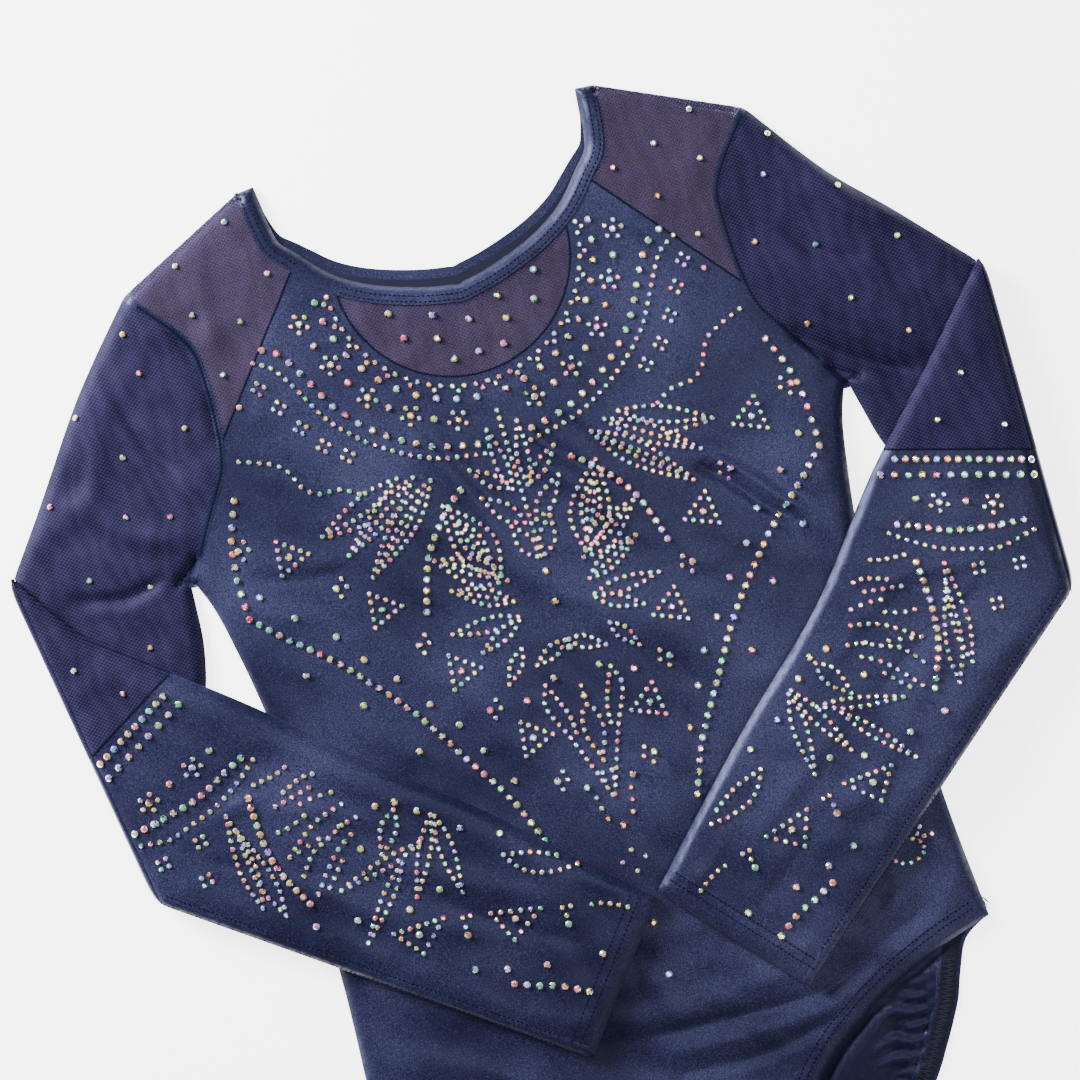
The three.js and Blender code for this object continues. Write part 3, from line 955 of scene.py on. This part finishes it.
def fold_strip(name, start, end, outward, ends, cloth):
    """A curved strip of cloth along a fold, from the lower layer up to the upper one."""
    along = end - start
    columns = max(2, round(float(np.linalg.norm(along)) / (4 * MM)))
    rows = 12
    places, faces = [], []
    for i in range(columns + 1):
        foot = start + along * i / columns
        reach = float(np.linalg.norm(along)) * (i if ends == "first" else columns - i) / columns
        swell = FOLD_BULGE * math.sqrt(max(0.0, 1 - (1 - min(1, reach / FOLD_TAPER)) ** 2))
        for j in range(rows + 1):
            turn = math.pi * j / rows
            out = foot + outward * swell * math.sin(turn)
            height = (FOLD_LOW + FOREARM_FOLD) / 2 - (FOREARM_FOLD - FOLD_LOW) / 2 * math.cos(turn)
            places.append((*out, height))
    for i in range(columns):
        for j in range(rows):
            corner = i * (rows + 1) + j
            faces.append((corner, corner + 1, corner + rows + 2, corner + rows + 1))
    mesh = bpy.data.meshes.new(name)
    mesh.from_pydata(places, [], faces)
    mesh.shade_smooth()
    mesh.materials.append(cloth)
    strip = placed(name, mesh)
    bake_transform(strip)


# where the fold starts, where its mesh gives way to satin, and where it ends, all measured down
ELBOWS = {"right": (152, 249, 329), "left": (140, 239, 312)}
for side, (start, join, end) in ELBOWS.items():
    body = f"{side}_forearm"
    place, direction = fold_lines[body]
    outward = np.array([direction[1], -direction[0]])
    outward *= np.sign(outward[0]) * (1 if side == "left" else -1)
    down = direction / direction[1]
    corners = [place - down * (a - start) * MM for a in (start, join, end)]
    fold_strip(f"{side}_elbow_mesh_outer", corners[0], corners[1], outward, "first",
               navy_mesh)
    fold_strip(f"{side}_elbow_satin_outer", corners[1], corners[2], outward, "last",
               navy_satin)


# ---- Topstitching ----
# Twin rows of dark thread run along the neck binding, the leg hems and the cuffs. A zigzag holds every
# join of mesh to satin, and binds the armhole seams.

thread = plain_material("navy_thread", (0.002, 0.0025, 0.014), 0.8)
tune(surface(thread), {"Specular IOR Level": 0.08})
STITCH = 2.4 * MM
STITCH_SHARE = 0.88
THREAD = 0.42 * MM
THREAD_RISE = 0.28 * MM


def shared_edge(node, other, side="top"):
    """The longest stretch of one node's outline that runs along another's."""
    path = flowing(outer(node, side), 1 * MM)
    near = np.zeros(len(path), bool)
    for outline in face_outlines(other, side):
        near |= distance_to(path, outline, np.roll(outline, -1, 0)) < JOIN_GAP
    path, near = np.roll(path, -int(near.argmin()), 0), np.roll(near, -int(near.argmin()))
    ends = np.flatnonzero(np.diff(np.concatenate([[0], near.astype(int), [0]])))
    spans = ends.reshape(-1, 2)
    first, last = max(spans, key=lambda span: span[1] - span[0])
    return path[first:last]


def beside(path, offset):
    """A line beside another, to its right by an offset."""
    along = np.gradient(path, axis=0)
    along /= np.linalg.norm(along, axis=1)[:, None] + 1e-12
    return path + offset * np.stack([along[:, 1], -along[:, 0]], 1)


def evenly(path, spacing):
    """Points at an even spacing along a path."""
    steps = np.concatenate([[0], np.cumsum(np.linalg.norm(np.diff(path, axis=0), axis=1))])
    places = np.linspace(0, steps[-1], max(2, round(steps[-1] / spacing) + 1))
    return np.stack([np.interp(places, steps, path[:, k]) for k in (0, 1)], 1)


def sew(name, body, height, rows, zigzags=(), colour=thread):
    """Stitches along rows of thread, and zigzags given as (path, half width, pitch)."""
    starts, ends = [], []
    for path in rows:
        points = evenly(path, STITCH)
        starts.append(points[:-1])
        ends.append(points[:-1] + STITCH_SHARE * np.diff(points, axis=0))
    for path, half_width, pitch in zigzags:
        points = evenly(path, pitch / 2)
        swing = np.where(np.arange(len(points)) % 2 == 0, half_width, -half_width)
        points = points + (beside(points, 1) - points) * swing[:, None]
        starts.append(points[:-1])
        ends.append(points[1:])
    starts, ends = np.concatenate(starts), np.concatenate(ends)
    along = ends - starts
    across = np.stack([along[:, 1], -along[:, 0]], 1) / np.linalg.norm(along, axis=1)[:, None] * THREAD
    foot, tip = height(starts), height(ends)
    middle = (height((starts + ends) / 2) + np.maximum(foot, tip)) / 2 + THREAD_RISE
    places = []
    for i in range(len(starts)):
        centre = (starts[i] + ends[i]) / 2
        places += [(*starts[i], foot[i]), (*ends[i], tip[i])]
        for reach, level in ((1, middle[i] - 0.1 * MM), (0.4, middle[i])):
            places += [(*(centre + across[i] * reach), level), (*(centre - across[i] * reach), level)]
    faces = []
    for k in range(0, len(places), 6):
        faces += [(k, k + 2, k + 4), (k, k + 4, k + 5), (k, k + 5, k + 3)]
        faces += [(k + 1, k + 4, k + 2), (k + 1, k + 5, k + 4), (k + 1, k + 3, k + 5)]
    mesh = bpy.data.meshes.new(name)
    mesh.from_pydata(places, [], faces)
    mesh.materials.append(colour)
    stitches = placed(name, mesh)
    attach(stitches, body)


binding_rows = []
for node in ("front_body", "neck_inset_mesh", "right_shoulder_mesh", "left_shoulder_mesh"):
    edge = shared_edge(node, "neck_binding")
    binding_rows += [beside(edge, 1.6 * MM), beside(edge, 4.6 * MM)]
sew("neck_stitches", "torso", over_binding, binding_rows)
JOIN_ZIGZAG = (0.7 * MM, 1.6 * MM)
join_zigzags = [(shared_edge("neck_inset_mesh", "front_body"), *JOIN_ZIGZAG)]
hem_rows = []
ladder_thread = plain_material("ladder_thread", (0.005, 0.006, 0.02), 0.9)
ladders = []
for side in ("right", "left"):
    join_zigzags.append((shared_edge(f"{side}_shoulder_mesh", "front_body"), *JOIN_ZIGZAG))
    armhole = shared_edge(f"{side}_upper_sleeve", f"{side}_armhole_seam")[4:-8]
    join_zigzags.append((beside(armhole, 1.6 * MM), 1.3 * MM, 1.8 * MM))
    hem = shared_edge("front_body", f"{side}_leg_hem")[8:-8]
    hem_rows += [beside(hem, 0.8 * MM), beside(hem, 4.4 * MM)]
    inner_hem = shared_edge("back_body", f"{side}_leg_hem", "bottom")
    ladders.append((beside(inner_hem, 6 * MM), 4 * MM, 2.6 * MM))
sew("leg_elastic_stitches", "torso", inner_seam, [], ladders, ladder_thread)
sew("body_join_stitches", "torso", lambda p: body_top(p) + 0.1 * MM, [], join_zigzags)
sew("leg_hem_stitches", "torso", lambda p: body_top(p) + HEM_LIFT, hem_rows)
for side in ("right", "left"):
    body = f"{side}_forearm"
    top = forearm_top(side)
    seam = shared_edge(f"{side}_forearm_sleeve", f"{side}_forearm_seam")
    lowest, highest = (11, 93) if side == "right" else (1.5, 87)
    cuff_rows = [
        np.array([along_forearm(side, u, lowest), along_forearm(side, u, highest)])
        for u in (8.5, 13)
    ]
    join = shared_edge(f"{side}_elbow_mesh", f"{side}_forearm_sleeve")
    sew(f"{side}_cuff_stitches", body, lambda p: top(p) + 0.3 * MM, cuff_rows)
    sew(f"{side}_sleeve_stitches", body, lambda p: top(p) + 0.25 * MM,
        [beside(seam, 0.4 * MM)[6:-6], beside(seam, 5.4 * MM)[6:-6]], [(join, *JOIN_ZIGZAG)])


# ---- Rhinestones ----
# Flat-backed crystals, 2.8 and 3.9 mm wide and 3.3 mm on the mesh, are glued on in a mirrored pattern
# of arcs, leaves, triangles and singles. Their rainbow coating shows pink, gold, green and blue, and
# some facets are painted white as glints and some near black as dark reflections.

SMALL = 2.8
MIDDLE = 3.3
LARGE = 3.9
LEAF_SPACING = 4.3
COATINGS_AND_GLINTS = [(1.0, 0.22, 0.36), (1.0, 0.44, 0.16), (1.0, 0.84, 0.24), (0.24, 0.86, 0.36),
            (0.28, 0.54, 1.0), (0.60, 0.36, 1.0), (1.0, 0.99, 0.99), (0.05, 0.05, 0.13)]
HUES = 6
# the last two colours are no coating: white for painted glints and near black for painted dark
# reflections
WHITE_GLINT = 6
DARK_REFLECTION = 7
coatings_and_glints = []
for number, colour in enumerate(COATINGS_AND_GLINTS):
    facet_colour = plain_material(f"crystal_facet_colour_{number + 1}", colour, 0.16)
    tune(surface(facet_colour), {"Metallic": 0.75})
    coatings_and_glints.append(facet_colour)


def row(line, spacing, size=SMALL):
    """Stones at an even spacing along a flowing line."""
    path = smooth_path(line) if len(line) > 2 else np.array(line, float)
    return [(x, a, size) for x, a in evenly(path, spacing)]


def ring(centre, radius, count, size=SMALL, squash=1.0):
    turns = [2 * math.pi * k / count for k in range(count)]
    return [(centre[0] + radius * math.cos(t), centre[1] + squash * radius * math.sin(t), size)
            for t in turns]


def rosette(centre):
    return [(*centre, LARGE)] + ring(centre, 4.4, 5)


def four_dots(centre, spread=2.9):
    return ring(centre, spread, 4)


def leaf(base, tip, width, filled=False):
    """A pointed leaf outlined in small stones, with more stones inside if it is filled."""
    base, tip = np.array(base, float), np.array(tip, float)
    along = tip - base
    across = np.array([-along[1], along[0]]) / np.linalg.norm(along) * width / 2
    stones = []
    for edge, last in ((across, None), (-across, -1)):
        sides = [base + 0.3 * along + 0.9 * edge, base + 0.6 * along + 0.85 * edge]
        stones += row([base, *sides, tip], LEAF_SPACING)[1:last]
    stones.append((*base, SMALL))
    if filled:
        rows = max(1, round(width / LEAF_SPACING) - 1)
        for k in range(rows):
            lean = (2 * (k + 1) / (rows + 1) - 1) * 0.8
            middle = base + 0.5 * along + lean * across
            stones += row([base + 0.14 * along, middle, tip - 0.16 * along], LEAF_SPACING)
    return stones


def triangle(centre, size=20, turn=0.0):
    corners = [(centre[0] + 0.5 * size * math.cos(t + turn), centre[1] + 0.5 * size * math.sin(t + turn))
               for t in (-math.pi / 2, math.pi / 6, 5 * math.pi / 6)]
    stones = [(*centre, LARGE)]
    for k in range(3):
        stones += row([corners[k], corners[(k + 1) % 3]], 4.2)[:-1]
    return stones


def singles(places, size=LARGE):
    return [(x, a, size) for x, a in places]


def arc(radius, first, last, spacing, size):
    """Stones on an arc round the neck, from one slope to another, in degrees below level."""
    count = max(2, round(math.radians(last - first) * radius / spacing) + 1)
    return [(radius * math.cos(math.radians(t)), 61.5 + radius * math.sin(math.radians(t)), size)
            for t in np.linspace(first, last, count)]


ROSETTES = [(82, 72), (73, 96), (60, 117), (42, 132), (20, 141)]
half = []
for k in range(9):
    scallop = math.radians(4 + 10.4 * k)
    for turn, radius in ((-0.045, 65), (0, 67.5), (0.045, 65)):
        half.append((radius * math.cos(scallop + turn), 61.5 + radius * math.sin(scallop + turn), SMALL))
half += arc(71.5, 2, 84, 10.5, LARGE)
for first, second in zip(ROSETTES, ROSETTES[1:]):
    half += rosette(first)
    half.append(((first[0] + second[0]) / 2 * 1.01, (first[1] + second[1]) / 2 + 0.6, LARGE))
half += rosette(ROSETTES[-1])
half += row([(104, 79), (96, 84), (88, 97), (76, 119), (58, 137), (36, 150), (14, 155.5)], 7.6, LARGE)
half += row([(110, 84), (101, 90), (93, 103), (81, 124), (62, 142), (38, 155.5), (12, 161)], 4.7)
for spot in ((111, 97), (104, 109), (96.5, 122), (88, 134), (78, 142)):
    half += four_dots(spot)
half += row([(131, 129), (114, 136), (108.5, 142), (105, 150), (98, 156), (87, 157), (78, 162)], 5.2)
half += row([(149, 206), (136, 219), (115, 238), (104, 250), (85, 273), (72, 293), (67, 302), (50, 330),
             (40, 355)], 5.7, LARGE)
half += singles([(141, 197), (127, 212), (110, 227), (100, 242), (87, 256), (75, 273), (64, 287),
                 (56, 303), (46, 322), (130, 241), (107, 264), (87, 294)])
half += row([(139, 147), (146, 165), (149, 184), (149, 206)], 7, LARGE)
for spot in ((121, 182), (84, 220.5), (55, 261.6), (30.5, 304)):
    half += triangle(spot, 20, 0.4)
for x, a in ((144.5, 172), (103, 204), (71.5, 243), (47, 284.5), (25.3, 328.5)):
    half += singles([(x, a)]) + singles([(x - 4, a - 4), (x - 5.4, a + 0.5), (x - 1.5, a + 4.6)], SMALL)
half += singles([(12, 278.5), (28, 285.5), (12, 336)])
half += leaf((4, 182), (8, 150), 6) + leaf((6, 181), (22, 167), 6) + leaf((3, 200), (20, 182), 8)
half += leaf((2, 218), (10, 200), 8) + leaf((22, 222), (40, 180), 20, True)
half += leaf((20, 225), (52, 205), 13, True) + leaf((20, 236), (48, 222), 8, True)
half += leaf((20, 244), (54, 243), 7) + leaf((20, 246), (42, 256), 6) + leaf((23, 260), (34, 275), 6)
half += leaf((1, 262), (18, 270), 6) + leaf((42, 166), (84, 204), 12, True)
half += leaf((50, 162), (92, 190), 9, True) + leaf((58, 160), (102, 177), 8)
half += row([(78, 178), (98, 178)], 4.5)
half += row([(29, 175), (38, 182), (46, 191), (54, 202), (59, 215), (63, 228.5)], 5.6, LARGE)
half += row([(17, 281), (20, 292), (12, 311), (0.5, 343)], 4.3)
half += row([(15, 285), (10, 298), (9, 308)], 4.3) + row([(3, 299), (5, 306), (4, 314), (1, 321)], 4.3)
half += singles([(2.5, 331), (2.5, 335), (9, 342), (8, 348), (6.5, 354)], SMALL)
half += singles([(17, 87), (38, 80), (34, 94), (18, 99), (13, 111)])

body_stones = half + [(-x, a, size) for x, a, size in half]
body_stones += row([(0, 142), (0, 218)], 4.3)
body_stones += singles([(0, 94), (0, 111), (0, 226), (0, 242), (0, 266), (0, 291), (0, 359), (0, 410),
                        (0, 437)])
body_stones += singles([(0, 286), (0, 296), (0, 325), (0, 372), (6, 377), (-6, 377), (0, 383)], SMALL)
body_stones += singles([
    (-103, 12), (-133, 26), (-90, 43), (-132, 52), (-110, 62), (-126, 85), (-123, 103), (136, 26),
    (114, 37), (91, 43), (134, 51), (108, 63), (122, 87), (120, 104), (-168, 51), (-166, 72), (-203, 84),
    (-152, 105), (-186, 110), (-228, 123), (-193, 139), (-172, 145), (-220, 164), (-192, 176),
    (-170, 203), (-201, 205), (170, 49), (162, 68), (196, 84), (148, 99), (177, 109), (217, 117),
    (186, 140), (161, 146), (209, 164)], MIDDLE)
body_stones += ring((132, 413), 8.4, 12, SMALL, 0.72)
body_stones += singles([(112, 423), (114, 421), (117, 418), (141, 403), (139, 406), (142, 408),
                        (146, 408)], SMALL)

# the lower sleeves' pattern is given along the sleeve from the cuff and across it from its upper edge
sleeve_stones = row([(14, 63.5), (20, 64), (26.5, 64.5), (32, 66), (37.5, 68), (50, 71)], 6.2, LARGE)
sleeve_stones += singles([
    (15, 43.5), (38.5, 57), (56, 65), (71, 70), (84.5, 1.5), (104, 5), (127, 3), (139, 2), (147, 7),
    (102, 37), (146, 29.5), (112, 51), (134, 64), (152, 73), (234, 5), (246, 27), (245, 48), (36, 34.5),
    (80.5, 54.5), (61.5, 40), (103, 61.5)])
sleeve_stones += row([(12, 17.5), (17, 18), (23, 19), (29, 21.5)], 5)
sleeve_stones += singles([(38.5, 25.5), (42, 27.5), (38.5, 30.5), (83, 45), (86, 47), (83, 51)], SMALL)
for corners in ([(52, 31), (58, 50), (74, 41)], [(95, 50), (97.5, 70), (115, 65)]):
    for k in range(3):
        sleeve_stones += row([corners[k], corners[(k + 1) % 3]], 4.5)[:-1]
sleeve_stones += row([(50, 3), (59, 4), (68, 6), (79, 11)], 4.5)
sleeve_stones += row([(43, 4.5), (50.5, 10), (62, 15), (71, 14.5), (75, 13)], 4.5)
sleeve_stones += leaf((118, 3), (91, 35), 7) + leaf((120, 3), (111, 44), 6)
sleeve_stones += leaf((124, 30), (125, 73), 5) + leaf((120, 18), (147, 52), 5)
sleeve_stones += leaf((138, 6), (135, 29), 8)
for line in (
        [(153, 24), (156, 33), (157, 43), (157, 57)], [(152, 38), (153, 52)],
        [(159, 21), (163, 30), (167, 38), (167, 51)], [(154, 15), (160, 22)],
        [(163, 11), (169, 19), (173, 27), (177, 44)], [(167, 31), (174, 40)],
        [(170, 7), (177, 12), (182, 17)], [(178, 22), (182, 29), (187, 34)],
        [(181, 8), (187, 15), (193, 22)], [(182, 1), (187, 5), (192, 14)],
        [(196, 2), (200, 8), (207, 15)],
        [(212, 3), (215, 16), (220, 30), (228, 43), (235, 53), (245, 59), (252, 63)]):
    sleeve_stones += row(line, 4.6)
sleeve_stones += row([(207, 22), (201, 30), (190, 43), (178, 53), (159, 63)], 5, LARGE)
sleeve_stones += row([(218, 4), (223, 14), (230, 29), (241, 43), (253, 56)], 5.4, LARGE)
sleeve_stones += leaf((168, 72), (206, 40), 8) + leaf((180, 72), (214, 34), 8)
for spot in ((234, 66), (211, 67), (221, 50)):
    sleeve_stones += four_dots(spot)
sleeve_stones += rosette((238.5, 16)) + rosette((252, 39))


def set_stones(name, body, height, stones, seed):
    """Faceted domes, one for each (place, size), leaning with the cloth that they are glued to."""
    dice = random.Random(seed)
    spots = np.array([place for place, _ in stones])
    sizes = np.array([size for _, size in stones]) * MM
    level = height(spots)
    nudge = 0.8 * MM
    lean = np.stack([(height(spots + np.array(d) * nudge) - level) / nudge for d in ((1, 0), (0, 1))], 1)
    places, faces, kinds = [], [], []
    for (x, y), z, (slope_x, slope_y), size in zip(spots, level, np.clip(lean, -0.6, 0.6), sizes):
        turn = dice.uniform(0, 2 * math.pi)
        hue = dice.choice((0, 0, 1, 1, 2, 2, 3, 3, 4, 5))
        next_hue = (hue + 1) % HUES
        first = len(places)
        for radius, rise, offset in ((0.5, 0.05, 0), (0.46, 0.2, 0.5), (0.24, 0.42, 0)):
            for k in range(8):
                angle = turn + math.pi * (k + offset) / 4
                dx, dy = radius * size * math.cos(angle), radius * size * math.sin(angle)
                places.append((x + dx, y + dy, z + rise * size + slope_x * dx + slope_y * dy))
        for k in range(8):
            a, b = first + k, first + (k + 1) % 8
            faces += [(a, b, a + 8), (b, b + 8, a + 8), (a + 8, b + 8, b + 16), (a + 8, b + 16, a + 16)]
            # the facets mix the stone's coating hues with painted white glints and painted dark
            # reflections
            low = dice.choice((hue, DARK_REFLECTION, DARK_REFLECTION))
            high = dice.choice((hue, hue, next_hue, WHITE_GLINT, WHITE_GLINT, DARK_REFLECTION))
            kinds += [low, low, high, high]
        faces.append(tuple(first + 16 + k for k in range(8)))
        kinds.append(dice.choice((hue, hue, next_hue, WHITE_GLINT)))
    mesh = bpy.data.meshes.new(name)
    mesh.from_pydata(places, [], faces)
    for facet_colour in coatings_and_glints:
        mesh.materials.append(facet_colour)
    for face, kind in zip(mesh.polygons, kinds):
        face.material_index = kind
    group = placed(name, mesh)
    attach(group, body)


def on_cloth(stones, outlines):
    """The stones whose places fall well inside one of the outlines."""
    places = np.array([place for place, _ in stones])
    kept = np.any([inside(places, outline) for outline in outlines], axis=0)
    return [stone for stone, is_kept in zip(stones, kept) if is_kept]


body_outlines = [o for node in FRONT_PIECES + SLEEVE_PIECES for o in face_outlines(node, "top")]
elbow_stones = {"right": [(-239, 205), (-219, 223)], "left": [(226, 192), (208, 211), (239, 223)]}
# two rows along the edge of the satin, just below the elbow mesh
elbow_rows = {
    "right": (([(-200, 230), (-240, 253)], 5.2), ([(-194, 236), (-238, 261)], 6.8)),
    "left": (([(182, 223.5), (247, 243.5)], 5.2), ([(173, 229), (246, 251)], 6.8)),
}
stones = on_cloth([(lay(x, a), size) for x, a, size in body_stones], body_outlines)
set_stones("body_rhinestones", "torso", body_top, stones, 3)
for side in ("right", "left"):
    stones = [(along_forearm(side, u, v), size) for u, v, size in sleeve_stones]
    stones += [(lay(*spot), MIDDLE) for spot in elbow_stones[side]]
    for line, spacing in elbow_rows[side]:
        stones += [(lay(x, a), size) for x, a, size in row(line, spacing, LARGE)]
    outlines = [o for part in FOREARM_PIECES for o in face_outlines(f"{side}_{part}", "top")]
    stones = on_cloth(stones, outlines)
    edge_gap = distance_to(np.array([place for place, _ in stones]), *forearm_edges[side]["free"])
    stones = [stone for stone, gap in zip(stones, edge_gap) if gap > 1.6 * MM]
    set_stones(f"{side}_sleeve_rhinestones", f"{side}_forearm", forearm_top(side), stones, 5)
